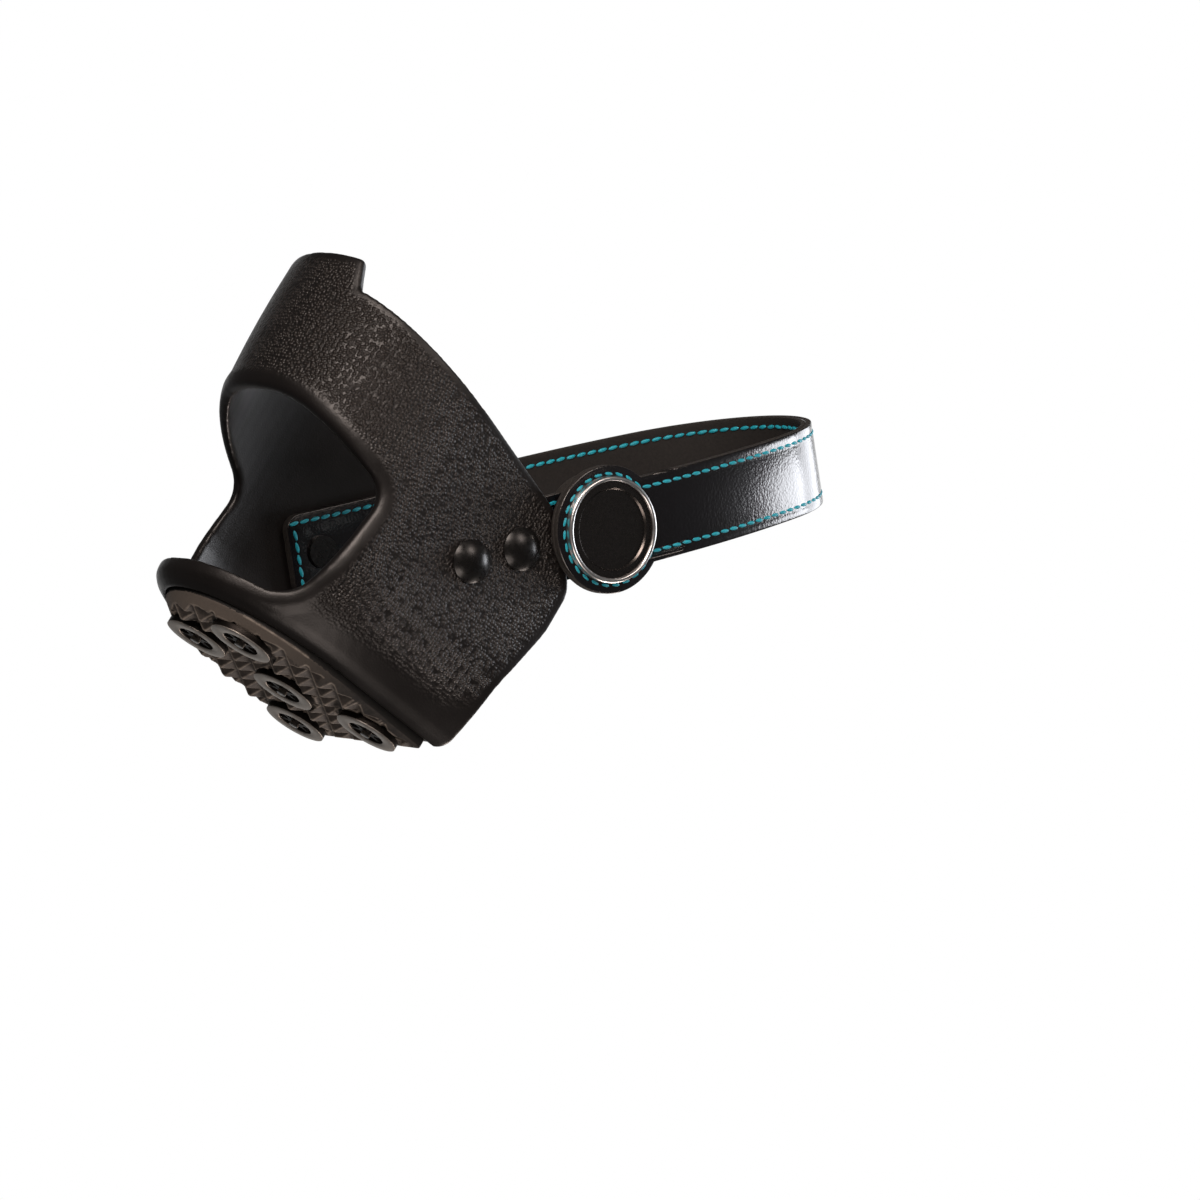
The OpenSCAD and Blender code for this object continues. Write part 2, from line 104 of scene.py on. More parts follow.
# Settings
def linear(code):
    """A hex sRGB colour as linear red, green, blue and alpha."""
    channels = [int(code[i:i + 2], 16) / 255 for i in (1, 3, 5)]
    return (*[c / 12.92 if c <= 0.04045 else ((c + 0.055) / 1.055) ** 2.4 for c in channels], 1.0)


def length(name, description, millimetres):
    return FloatProperty(name=name, description=description, default=millimetres * MM, min=0.0,
                         unit="LENGTH", precision=5)


def turn_angle(name, description, degrees):
    return FloatProperty(name=name, description=description, default=math.radians(degrees), subtype="ANGLE")


def colour(name, description, code):
    return FloatVectorProperty(name=name, description=description, default=linear(code), size=4, min=0.0,
                               max=1.0, subtype="COLOR")


def face_count(name, description, most):
    return IntProperty(name=name, description=description, default=most, min=1000)


class ShellSettings(bpy.types.PropertyGroup):
    """Sizes and colours of the moulded shell and its tread."""
    mesh_size: length("Mesh size", "Edge length of the shell's mesh before it is thinned", 0.4)
    bead_height: length("Bead height", "How far the window's lip stands out of the panel", 0.4)
    bead_width: length("Bead width", "Distance from the window's edge over which its lip swells", 6.0)
    edge_round: length("Edge rounding", "Distance from the window's edge over which its lip rolls in", 2.2)
    bottom_band: length("Bottom band", "Height of the smooth band along the bottom", 14.0)
    front_band: length("Front band", "Width of the smooth band along the front edges", 3.0)
    window_band: length("Window band", "Width of the smooth band round the window", 4.5)
    top_band: length("Top band", "Width of the smooth band along the top edge", 2.6)
    grain_size: length("Grain size", "Width of one pebble of the moulded grain", 0.82)
    grain_depth: length("Grain depth", "Depth of the moulded grain", 0.33)
    most_faces: face_count("Most faces", "Triangles left in the shell's mesh", 170000)
    # The shell is one black rubber: the pebbles' paler tops are painted highlight and the darker colour
    # between them is painted shade.
    dark: colour("Shell colour", "Colour of the moulded shell between the pebbles", "#120f0e")
    light: colour("Pebble colour", "Colour of the pebbles' tops", "#2b2623")
    tread: colour("Tread colour", "Colour of the tread's rubber", "#2a2623")
    # Painted light: the sloping border is painted paler at its back than the lugs' rubber.
    border: colour("Border colour", "Colour of the tread's sloping border at its back", "#5c554e")
    # Painted shadow: black painted on the tread's outer side, which lies in shade under the shell's bottom.
    side_painted_shadow: colour("Sheltered rubber", "Colour of the tread's clean black side", "#0e0d0c")
    tread_worn: colour("Worn rubber", "Colour of the lugs' rubbed edges", "#8f867c")
    tread_mesh: length("Tread mesh size", "Edge length of the tread's mesh before it is thinned", 0.25)
    tread_faces: face_count("Tread faces", "Triangles left in the tread's mesh", 120000)
    rubbed_width: length("Rubbed edges", "Width over which a lug's edge is rubbed pale", 0.42)
    border_width: length("Border width", "Width of the tread's sloping border", 4.5)


class StudSettings(bpy.types.PropertyGroup):
    """Sizes and colours of the ice studs."""
    edge: length("Stud edges", "Rounding of the stud rings' edges", 0.16)
    steel: colour("Stud steel", "Colour of the plated rings", "#cbc5bc")
    # The recess colour is partly dirt and partly painted shade.
    recess_grime_and_shade: colour("Stud recess", "Colour of the recesses", "#2a2725")
    carbide: colour("Pin", "Colour of the hard pins", "#5d5954")


class StrapSettings(bpy.types.PropertyGroup):
    """Sizes and colours of the leather strap and its tabs."""
    width: length("Width", "Width of the strap", 21.0)
    outer: length("Outer leather", "Thickness of the outer leather", 1.6)
    lining: length("Lining", "Thickness of the lining", 1.2)
    paddle: length("Round ends", "Diameter of the strap's round ends", 31.0)
    flat: length("Flat length", "Flat length of the strap from a snap's middle", 20.0)
    reach: length("Reach", "Reach of the strap from the snaps to its crown", 87.0)
    angle: turn_angle("Angle", "Angle of the strap above the ground", 47.0)
    side_turn: turn_angle("Side turn", "Turn of the strap's long sides before the crown", 16.0)
    tab_angle: turn_angle("Tab angle", "Angle of the tabs above the ground", 46.0)
    tab_length: length("Tab length", "Length of a tab behind its snap", 47.6)
    tab_width: length("Tab width", "Width of a tab", 21.0)
    tab_end: length("Tab end", "Diameter of a tab's round end", 27.0)
    edge: length("Leather edges", "Rounding of the cut leather's edges", 0.35)
    stitch_inset: length("Stitch inset", "Distance of the stitches from the strap's edges", 2.6)
    ring_inset: length("Ring inset", "Distance of the stitches from the round ends' edges", 2.05)
    stitch_pitch: length("Stitch pitch", "Distance from one stitch to the next", 3.1)
    stitch: length("Stitch", "Length of a stitch that shows", 2.75)
    thread: length("Thread", "Thickness of the thread", 1.0)
    groove: length("Stitch groove", "How deep the stitches draw the leather in", 0.22)
    leather: colour("Leather", "Colour of the strap's face", "#0b0a0c")
    cut_edge: colour("Cut edge", "Colour of the leather's raw edges", "#37332f")
    split: colour("Lining colour", "Colour of the lining", "#211e1c")
    yarn: colour("Thread colour", "Colour of the stitches", "#2cc3d9")


class MetalSettings(bpy.types.PropertyGroup):
    """Sizes and colours of the snaps and rivets."""
    cap_rim: length("Cap rim", "Width of a snap cap's bright rim", 1.25)
    cap_recess: length("Cap recess", "Depth of a snap cap's face below its rim", 0.6)
    cap_step: length("Cap step", "Diameter of the step in a snap cap's face", 20.0)
    step_depth: length("Step depth", "Depth of that step", 0.4)
    nickel: colour("Nickel", "Colour of the polished rim", "#e2e2e1")
    gunmetal: colour("Gunmetal", "Colour of the cap's dark face", "#5b5653")
    enamel: colour("Enamel", "Colour of the rivets", "#100f0e")


class StageSettings(bpy.types.PropertyGroup):
    """The camera, the lights and the floor."""
    azimuth: turn_angle("Azimuth", "Turn of the camera's view from +Y towards +X", 28.0)
    rise: turn_angle("Rise", "How far the camera looks upwards", 13.5)
    roll: turn_angle("Roll", "Roll of the camera about its view", 31.0)
    distance: length("Distance", "Distance from the camera to the middle stud's face", 900.0)
    scale: length("Scale", "Length of one picture element at the middle stud", 0.24)
    floor: colour("Floor", "Colour of the floor", "#e9e8e6")


# Meshes
def merged_copy(node):
    """A CAD node's mesh with its loose triangles joined."""
    bm = bmesh.new()
    bm.from_mesh(NODES[node].data)
    bmesh.ops.remove_doubles(bm, verts=bm.verts, dist=NODE_WELD)
    return bm


def crisp_edges(bm, least):
    """The edges at which two faces meet at more than that angle."""
    return [e for e in bm.edges if len(e.link_faces) == 2 and e.calc_face_angle() > least]


def points_along(edge, spacing):
    """Points along a mesh edge, no further apart than the spacing."""
    a, b = (v.co for v in edge.verts)
    count = max(1, math.ceil((b - a).length / spacing))
    return [a.lerp(b, (i + 0.5) / count) for i in range(count)]


def soften(bm, edges, width):
    """Rounds edges off."""
    bmesh.ops.bevel(bm, geom=edges, offset=width, offset_type="OFFSET", affect="EDGES", segments=2,
                    profile=0.5, material=-1, clamp_overlap=True, loop_slide=False)


def piece(name, bm, materials, replaced=(), sharp=math.radians(40)):
    """Makes an object of a bmesh, in its place in the frame, that stands for some CAD nodes."""
    mesh = bpy.data.meshes.new(name)
    bm.to_mesh(mesh)
    bm.free()
    mesh.shade_smooth()
    mesh.set_sharp_from_angle(angle=sharp)
    for m in materials:
        mesh.materials.append(m)
    made = bpy.data.objects.new(name, mesh)
    bpy.context.scene.collection.objects.link(made)
    if replaced:
        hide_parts(*replaced)
    return made


def dress(node, *materials):
    """Gives a CAD node its finish."""
    mesh = NODES[node].data
    mesh.materials.clear()
    for m in materials:
        mesh.materials.append(m)


def smooth_step(low, high, value):
    """Goes from 0 at low to 1 at high, with no kink at either."""
    t = min(1.0, max(0.0, (value - low) / (high - low)))
    return t * t * (3 - 2 * t)


def arc(centre, radius, start, end, steps):
    """Points of (across, up) along an arc, with its angles in degrees."""
    angles = [math.radians(start + (end - start) * i / steps) for i in range(steps + 1)]
    return [(centre[0] + radius * math.cos(a), centre[1] + radius * math.sin(a)) for a in angles]


def turned(profile, matrix, steps):
    """Spins an outline of (radius, height) about its height axis into a closed shape."""
    bm = bmesh.new()
    verts = [bm.verts.new((r, 0, h)) for r, h in profile]
    edges = [bm.edges.new(pair) for pair in zip(verts, verts[1:])]
    bmesh.ops.spin(bm, geom=verts + edges, cent=(0, 0, 0), axis=(0, 0, 1), dvec=(0, 0, 0), angle=2 * math.pi,
                   steps=steps, use_merge=True)
    bmesh.ops.remove_doubles(bm, verts=bm.verts, dist=WELD)
    bmesh.ops.recalc_face_normals(bm, faces=bm.faces)
    bmesh.ops.transform(bm, matrix=matrix, verts=bm.verts)
    return bm


def outwards(side, x, y, z):
    """The place of a turned piece on one side of the foot, with its height axis pointing outwards."""
    return Matrix.Translation((x, y, z)) @ Matrix.Rotation(math.radians(-90 * SIDES[side]), 4, "X")


# Finishes
def set_inputs(tree, node, inputs):
    """Sets or links a node's inputs."""
    for socket, value in inputs.items():
        if isinstance(value, bpy.types.NodeSocket):
            tree.links.new(value, node.inputs[socket])
        else:
            node.inputs[socket].default_value = value


def add_node(tree, kind, settings, inputs):
    """Adds a node with its settings, and sets or links its inputs."""
    node = tree.nodes.new(kind)
    for name, value in settings.items():
        setattr(node, name, value)
    set_inputs(tree, node, inputs)
    return node


def start_finish(name):
    """A new material, its node tree, its shader and its place on the piece."""
    made = bpy.data.materials.new(name)
    made.use_nodes = True
    tree = made.node_tree
    shader = tree.nodes["Principled BSDF"]
    place = add_node(tree, "ShaderNodeTexCoord", {}, {}).outputs["Object"]
    return made, tree, shader, place


def moulded_elastomer():
    """Thermoplastic elastomer from a pebbled mould: satin black whose raised pebbles catch the light, with
    their tops painted paler as painted highlight and the hollows between them painted darker as painted
    shade.

    The pebbles are drawn a little coarser than real ones, so that they show.
    """
    s = bpy.context.scene.spur_shell
    made, tree, shader, place = start_finish("moulded_elastomer")
    mask = add_node(tree, "ShaderNodeAttribute", {"attribute_name": "grain"}, {}).outputs["Fac"]
    warp = add_node(tree, "ShaderNodeTexNoise", {}, {
        "Vector": place, "Scale": 0.7 / s.grain_size, "Detail": 2.0}).outputs["Color"]
    bent = add_node(tree, "ShaderNodeVectorMath", {"operation": "MULTIPLY_ADD"}, {
        0: warp, 1: (0.35 * s.grain_size,) * 3, 2: place}).outputs["Vector"]
    cells = add_node(tree, "ShaderNodeTexVoronoi", {"feature": "SMOOTH_F1"}, {
        "Vector": bent, "Scale": 1 / s.grain_size, "Smoothness": 0.15,
        "Randomness": 0.65}).outputs["Distance"]
    pebble = add_node(tree, "ShaderNodeMapRange", {"interpolation_type": "SMOOTHSTEP"}, {
        "Value": cells, "From Min": 0.75, "From Max": 0.1}).outputs["Result"]
    raised = add_node(tree, "ShaderNodeMath", {"operation": "MULTIPLY"}, {0: pebble, 1: mask}).outputs[0]
    blast = add_node(tree, "ShaderNodeTexNoise", {}, {
        "Vector": place, "Scale": 1 / (0.4 * MM), "Detail": 2.0}).outputs["Fac"]
    fine = add_node(tree, "ShaderNodeBump", {}, {
        "Height": blast, "Distance": 0.035 * MM}).outputs["Normal"]
    bump = add_node(tree, "ShaderNodeBump", {}, {
        "Height": raised, "Distance": s.grain_depth, "Normal": fine}).outputs["Normal"]
    # Painted highlight and shade: the pebbles' tops take the paler colour and the hollows between them the
    # darker one.
    tone = add_node(tree, "ShaderNodeMix", {"data_type": "RGBA"}, {
        "Factor": raised, 6: s.dark, 7: s.light}).outputs[2]
    cloud = add_node(tree, "ShaderNodeTexNoise", {}, {
        "Vector": place, "Scale": 1 / (9 * MM), "Detail": 3.0}).outputs["Fac"]
    rough = add_node(tree, "ShaderNodeMapRange", {}, {
        "Value": cloud, "From Min": 0.3, "From Max": 0.7, "To Min": 0.36, "To Max": 0.44}).outputs["Result"]
    set_inputs(tree, shader, {"Base Color": tone, "Roughness": rough, "Normal": bump})
    return made


def tread_rubber(name, back_shade, front_shade, most_dust):
    """Moulded rubber compound: matt, dusty dark grey, paler where its edges rub. Its colour goes from the
    back shade to the front shade along the tread; where the two differ, that change is painted light and
    painted shade.
    """
    made, tree, shader, place = start_finish(name)
    low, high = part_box("tread_plate")
    run = high.x - low.x
    along = add_node(tree, "ShaderNodeSeparateXYZ", {}, {"Vector": place}).outputs["X"]
    # Where the back and front colours differ, this mask paints shade that darkens towards the front.
    front = add_node(tree, "ShaderNodeMapRange", {"interpolation_type": "SMOOTHSTEP"}, {
        "Value": along, "From Min": low.x + 0.25 * run, "From Max": low.x + 0.65 * run}).outputs["Result"]
    shade = add_node(tree, "ShaderNodeMix", {"data_type": "RGBA"}, {
        "Factor": front, 6: back_shade, 7: front_shade}).outputs[2]
    dust = add_node(tree, "ShaderNodeTexNoise", {}, {
        "Vector": place, "Scale": 1 / (2.2 * MM), "Detail": 5.0, "Roughness": 0.65}).outputs["Fac"]
    amount = add_node(tree, "ShaderNodeMapRange", {}, {
        "Value": dust, "From Min": 0.35, "From Max": 0.75, "To Max": most_dust}).outputs["Result"]
    dusty = add_node(tree, "ShaderNodeMix", {"data_type": "RGBA"}, {
        "Factor": amount, 6: shade, 7: linear("#6b635b")}).outputs[2]
    ridge = add_node(tree, "ShaderNodeAttribute", {"attribute_name": "rub"}, {}).outputs["Fac"]
    broken = add_node(tree, "ShaderNodeMapRange", {}, {
        "Value": dust, "From Min": 0.3, "From Max": 0.65, "To Min": 0.25, "To Max": 1.0}).outputs["Result"]
    rubbed = add_node(tree, "ShaderNodeMath", {"operation": "MULTIPLY"}, {0: ridge, 1: broken}).outputs[0]
    tone = add_node(tree, "ShaderNodeMix", {"data_type": "RGBA"}, {
        "Factor": rubbed, 6: dusty, 7: bpy.context.scene.spur_shell.tread_worn}).outputs[2]
    pores = add_node(tree, "ShaderNodeTexNoise", {}, {
        "Vector": place, "Scale": 1 / (0.5 * MM), "Detail": 3.0}).outputs["Fac"]
    bump = add_node(tree, "ShaderNodeBump", {}, {
        "Height": pores, "Distance": 0.06 * MM}).outputs["Normal"]
    set_inputs(tree, shader, {"Base Color": tone, "Roughness": 0.72, "Normal": bump})
    return made


def plated_steel():
    """Turned and zinc plated steel: satin grey rings with scratches, and recesses drawn dark, partly as dirt
    and partly as painted shade.
    """
    s = bpy.context.scene.spur_studs
    made, tree, shader, place = start_finish("zinc_plated_steel")
    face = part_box("stud_middle")[0].z
    height = add_node(tree, "ShaderNodeSeparateXYZ", {}, {"Vector": place}).outputs["Z"]
    # Dirt and painted shade: whatever lies deeper than the rings' faces is drawn dark.
    recess_grime_and_shade_mask = add_node(tree, "ShaderNodeMapRange", {"interpolation_type": "SMOOTHSTEP"}, {
        "Value": height, "From Min": face + 0.08 * MM, "From Max": face + 0.3 * MM}).outputs["Result"]
    scratch = add_node(tree, "ShaderNodeTexNoise", {}, {
        "Vector": place, "Scale": 1 / (0.9 * MM), "Detail": 6.0, "Roughness": 0.7}).outputs["Fac"]
    worn = add_node(tree, "ShaderNodeMix", {"data_type": "RGBA"}, {
        "Factor": scratch, 6: linear("#98928c"), 7: s.steel}).outputs[2]
    tone = add_node(tree, "ShaderNodeMix", {"data_type": "RGBA"}, {
        "Factor": recess_grime_and_shade_mask, 6: worn, 7: s.recess_grime_and_shade}).outputs[2]
    rough = add_node(tree, "ShaderNodeMapRange", {}, {
        "Value": scratch, "From Min": 0.3, "From Max": 0.7, "To Min": 0.38,
        "To Max": 0.58}).outputs["Result"]
    bump = add_node(tree, "ShaderNodeBump", {}, {
        "Height": scratch, "Distance": 0.03 * MM}).outputs["Normal"]
    set_inputs(tree, shader, {"Base Color": tone, "Metallic": 1.0, "Roughness": rough, "Normal": bump})
    return made


def ground_metal(name, shade, roughness, spot):
    """Plain ground, drawn or plated metal: an even shine broken by faint specks."""
    made, tree, shader, place = start_finish(name)
    specks = add_node(tree, "ShaderNodeTexNoise", {}, {
        "Vector": place, "Scale": 1 / spot, "Detail": 4.0}).outputs["Fac"]
    rough = add_node(tree, "ShaderNodeMapRange", {}, {
        "Value": specks, "From Min": 0.3, "From Max": 0.7, "To Min": 0.92 * roughness,
        "To Max": 1.08 * roughness}).outputs["Result"]
    set_inputs(tree, shader, {"Base Color": shade, "Metallic": 1.0, "Roughness": rough})
    return made


def gloss_enamel():
    """Stoved black enamel on pressed steel: smooth and shiny with a faint orange peel."""
    made, tree, shader, place = start_finish("stoved_black_enamel")
    peel = add_node(tree, "ShaderNodeTexNoise", {}, {
        "Vector": place, "Scale": 1 / (1.1 * MM), "Detail": 2.0}).outputs["Fac"]
    bump = add_node(tree, "ShaderNodeBump", {}, {
        "Height": peel, "Distance": 0.012 * MM}).outputs["Normal"]
    rough = add_node(tree, "ShaderNodeMapRange", {}, {
        "Value": peel, "From Min": 0.3, "From Max": 0.7, "To Min": 0.24, "To Max": 0.34}).outputs["Result"]
    set_inputs(tree, shader, {
        "Base Color": bpy.context.scene.spur_metal.enamel, "Roughness": rough, "Normal": bump})
    return made


def smooth_leather():
    """Corrected-grain cowhide with a plated finish: deep black, glossy, with fine pores and creases.

    The pores are drawn coarser than real ones, so that they show.
    """
    made, tree, shader, place = start_finish("plated_cowhide")
    pores = add_node(tree, "ShaderNodeTexVoronoi", {"feature": "SMOOTH_F1"}, {
        "Vector": place, "Scale": 1 / (0.7 * MM), "Smoothness": 0.5}).outputs["Distance"]
    crease = add_node(tree, "ShaderNodeTexNoise", {}, {
        "Vector": place, "Scale": 1 / (2.6 * MM), "Detail": 5.0, "Roughness": 0.6}).outputs["Fac"]
    soft = add_node(tree, "ShaderNodeBump", {"invert": True}, {
        "Height": pores, "Distance": 0.035 * MM}).outputs["Normal"]
    bump = add_node(tree, "ShaderNodeBump", {}, {
        "Height": crease, "Distance": 0.02 * MM, "Normal": soft}).outputs["Normal"]
    tone = add_node(tree, "ShaderNodeMix", {"data_type": "RGBA"}, {
        "Factor": crease, 6: bpy.context.scene.spur_strap.leather, 7: linear("#131115")}).outputs[2]
    set_inputs(tree, shader, {"Base Color": tone, "Roughness": 0.23, "Normal": bump, "Coat Weight": 1.0,
                              "Coat Roughness": 0.18, "Coat Normal": bump})
    return made


def raw_leather(name, shade, fibre):
    """Split or cut leather: matt, with short fibres and a mottled greyish tone."""
    made, tree, shader, place = start_finish(name)
    fibres = add_node(tree, "ShaderNodeTexNoise", {}, {
        "Vector": place, "Scale": 1 / fibre, "Detail": 6.0, "Roughness": 0.7}).outputs["Fac"]
    bump = add_node(tree, "ShaderNodeBump", {}, {
        "Height": fibres, "Distance": 0.12 * MM}).outputs["Normal"]
    amount = add_node(tree, "ShaderNodeMapRange", {}, {
        "Value": fibres, "From Min": 0.35, "From Max": 0.7}).outputs["Result"]
    tone = add_node(tree, "ShaderNodeMix", {"data_type": "RGBA"}, {
        "Factor": amount, 6: linear("#151312"), 7: shade}).outputs[2]
    set_inputs(tree, shader, {"Base Color": tone, "Roughness": 0.82, "Normal": bump})
    return made


def bonded_thread():
    """Bonded polyester thread: turquoise, twisted, with a silky light along its strands."""
    made, tree, shader, place = start_finish("bonded_polyester_thread")
    strands = add_node(tree, "ShaderNodeTexNoise", {}, {
        "Vector": place, "Scale": 1 / (0.35 * MM), "Detail": 3.0}).outputs["Fac"]
    tone = add_node(tree, "ShaderNodeMix", {"data_type": "RGBA"}, {
        "Factor": strands, 6: linear("#148fa3"), 7: bpy.context.scene.spur_strap.yarn}).outputs[2]
    bump = add_node(tree, "ShaderNodeBump", {}, {
        "Height": strands, "Distance": 0.08 * MM}).outputs["Normal"]
    set_inputs(tree, shader, {"Base Color": tone, "Roughness": 0.42, "Normal": bump})
    return made


def finish(name, make, *values):
    """A finish by name, made once."""
    return bpy.data.materials.get(name) or make(*values)


def leather_finishes():
    """The leather's face, its cut edge, the lining and the thread."""
    s = bpy.context.scene.spur_strap
    face = finish("plated_cowhide", smooth_leather)
    edge = finish("cut_leather_edge", raw_leather, "cut_leather_edge", s.cut_edge, 0.5 * MM)
    back = finish("split_leather_lining", raw_leather, "split_leather_lining", s.split, 0.8 * MM)
    thread = finish("bonded_polyester_thread", bonded_thread)
    return face, edge, back, thread


def snap_finishes():
    """The snaps' bright nickel and the dark one of their caps' faces."""
    s = bpy.context.scene.spur_metal
    bright = finish("polished_nickel", ground_metal, "polished_nickel", s.nickel, 0.3, 0.8 * MM)
    dark = finish("dark_nickel", ground_metal, "dark_nickel", s.gunmetal, 0.27, 0.6 * MM)
    return bright, dark


# Shell
def modified(bm, kind, settings):
    """The shape that a modifier makes of a bmesh."""
    source = bpy.data.meshes.new("modifier_source")
    bm.to_mesh(source)
    bm.free()
    holder = bpy.data.objects.new("modifier_source", source)
    bpy.context.scene.collection.objects.link(holder)
    modifier = holder.modifiers.new(kind, kind)
    for name, value in settings.items():
        setattr(modifier, name, value)
    graph = bpy.context.evaluated_depsgraph_get()
    changed = bpy.data.meshes.new_from_object(holder.evaluated_get(graph))
    made = bmesh.new()
    made.from_mesh(changed)
    bpy.data.objects.remove(holder)
    bpy.data.meshes.remove(source)
    bpy.data.meshes.remove(changed)
    return made


def smoothed(bm, verts, passes):
    """Evens out those points in a number of passes."""
    for i in range(passes):
        bmesh.ops.smooth_vert(bm, verts=verts, factor=0.5, use_axis_x=True, use_axis_y=True, use_axis_z=True)


def edge_points(bm, spacing):
    """Points along the shell's convex edges, sorted by the part of the outline that they belong to."""
    low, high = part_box("heel_shell")
    foot_z = low.z + 3 * MM
    ear_z = low.z + 46 * MM
    collar_z = low.z + 52 * MM
    front_x = high.x - 16 * MM
    holes = [(a + b) / 2 for a, b in (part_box(n) for n in NODES if n.startswith("rivet_cap"))]
    hole_reach = 6 * MM
    sorted_points = {"bottom": [], "front": [], "top": [], "window": []}
    for edge in crisp_edges(bm, math.radians(50)):
        if not edge.is_convex:
            continue
        for p in points_along(edge, spacing):
            if any(math.hypot(p.x - h.x, p.z - h.z) < hole_reach for h in holes):
                continue
            if p.z < foot_z:
                part = "bottom"
            elif p.z > collar_z or (p.x > front_x and p.z > ear_z):
                part = "top"
            elif p.x > front_x:
                part = "front"
            else:
                part = "window"
            sorted_points[part].append(p)
    return sorted_points


def point_tree(points):
    """A tree that finds the nearest of those points."""
    tree = KDTree(len(points))
    for i, p in enumerate(points):
        tree.insert(p, i)
    tree.balance()
    return tree


class SPUR_OT_shell(bpy.types.Operator):
    """Makes the moulded shell with rounded edges, a swollen window lip and its grain"""
    bl_idname = "spur.shell"
    bl_label = "Heel shell"

    edge_spacing = 0.6 * MM
    pull_tab = 8 * MM
    round_back = 45 * MM
    whole_passes = 12
    rim_passes = 16

    def execute(self, context):
        s = context.scene.spur_shell
        solid = merged_copy("heel_shell")
        trees = {part: point_tree(points) for part, points in edge_points(solid, self.edge_spacing).items()}
        bm = modified(solid, "REMESH", {"mode": "VOXEL", "voxel_size": s.mesh_size})
        smoothed(bm, bm.verts, self.whole_passes)
        low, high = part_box("heel_shell")
        tab = [v for v in bm.verts if v.co.z > high.z - self.pull_tab]
        for part, verts in (("top", tab), ("window", bm.verts)):
            rim = [v for v in verts if trees[part].find(v.co)[2] < s.edge_round]
            smoothed(bm, rim, self.rim_passes)
        bm = modified(bm, "DECIMATE", {"ratio": s.most_faces / (2 * len(bm.faces))})
        bm.normal_update()
        start_x = low.x + self.round_back
        self.swell_lip(bm, trees["window"], s, start_x)
        self.mark_grain(bm, trees, s, start_x)
        made = piece("heel_shell_moulding", bm, [finish("moulded_elastomer", moulded_elastomer)],
                     ["heel_shell"], math.pi)
        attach(made, "shell")
        return {"FINISHED"}

    def outward(self, vert, start_x):
        """How far a point's face looks out of the shell, from 0 to 1."""
        way = Vector((min(0.0, vert.co.x - start_x), vert.co.y, 0)).normalized()
        return smooth_step(0.45, 0.75, vert.normal.dot(way))

    def swell_lip(self, bm, tree, s, start_x):
        """Pushes the outer face out into a bead round the window."""
        moves = []
        for v in bm.verts:
            t = tree.find(v.co)[2]
            if t < s.bead_width:
                crest = 0.5 * s.bead_width
                bead = smooth_step(0.0, crest, t) * smooth_step(s.bead_width, crest, t)
                moves.append((v, v.normal * s.bead_height * bead * self.outward(v, start_x)))
        for v, move in moves:
            v.co += move

    def mark_grain(self, bm, trees, s, start_x):
        """Stores where the mould is pebbled and where it is smooth."""
        layer = bm.verts.layers.float.new("grain")
        bands = {"bottom": s.bottom_band, "front": s.front_band, "window": s.window_band, "top": s.top_band}
        for v in bm.verts:
            grain = self.outward(v, start_x)
            for part, band in bands.items():
                grain *= smooth_step(0.55 * band, 1.15 * band, trees[part].find(v.co)[2])
            v[layer] = grain


# Tread and studs
class SPUR_OT_tread(bpy.types.Operator):
    """Makes the rubber tread with rubbed lug edges"""
    bl_idname = "spur.tread"
    bl_label = "Tread"

    passes = 2
    least_ridge = math.radians(24)

    def execute(self, context):
        s = context.scene.spur_shell
        solid = merged_copy("tread_plate")
        ridges = point_tree(self.ridge_points(solid, s.tread_mesh))
        bm = modified(solid, "REMESH", {"mode": "VOXEL", "voxel_size": s.tread_mesh})
        smoothed(bm, bm.verts, self.passes)
        bm = modified(bm, "DECIMATE", {"ratio": s.tread_faces / (2 * len(bm.faces))})
        layer = bm.verts.layers.float.new("rub")
        for v in bm.verts:
            v[layer] = 1 - smooth_step(0.3 * s.rubbed_width, s.rubbed_width, ridges.find(v.co)[2])
        low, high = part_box("tread_plate")
        bm.normal_update()
        for face in bm.faces:
            face.material_index = self.zone(face, low.x + high.y, high.y - s.border_width)
        # The border is painted paler at its back as painted light and black at its front as painted shade;
        # the tread's outer side is painted black as painted shadow.
        finishes = [tread_rubber("moulded_tread_rubber", s.tread, s.tread, 0.5),
                    tread_rubber("tread_border_painted_light_and_shade", s.border, s.side_painted_shadow, 0.2),
                    tread_rubber("tread_side_painted_shadow", s.side_painted_shadow, s.side_painted_shadow, 0.0)]
        made = piece("tread_moulding", bm, finishes, ["tread_plate"], math.radians(60))
        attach(made, "shell")
        return {"FINISHED"}

    def ridge_points(self, bm, spacing):
        """Points along the lugs' ridges, which rub on the ground, but not along the tread's outline."""
        low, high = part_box("tread_plate")
        ground = high.z - 1.5 * MM
        rim = 1.5 * MM
        points = []
        for edge in crisp_edges(bm, self.least_ridge):
            a, b = (v.co for v in edge.verts)
            middle = (a + b) / 2
            reach = math.hypot(min(0.0, middle.x - low.x - high.y), middle.y)
            inside = reach < high.y - rim and middle.x < high.x - rim
            if edge.is_convex and inside and max(a.z, b.z) < ground:
                points += points_along(edge, spacing)
        return points

    def zone(self, face, start_x, inner):
        """A face's finish: 0 on the lugs, 1 on the sloping border, painted paler at its back as painted
        light and black at its front as painted shade, and 2 on the tread's outer side, painted black as
        painted shadow.
        """
        c = face.calc_center_median()
        reach = Vector((min(0.0, c.x - start_x), c.y, 0))
        level = Vector((face.normal.x, face.normal.y, 0)).normalized()
        if reach.length < inner or level.dot(reach.normalized()) < 0.9 or abs(face.normal.z) > 0.95:
            return 0
        return 1 if face.normal.z < -0.3 else 2


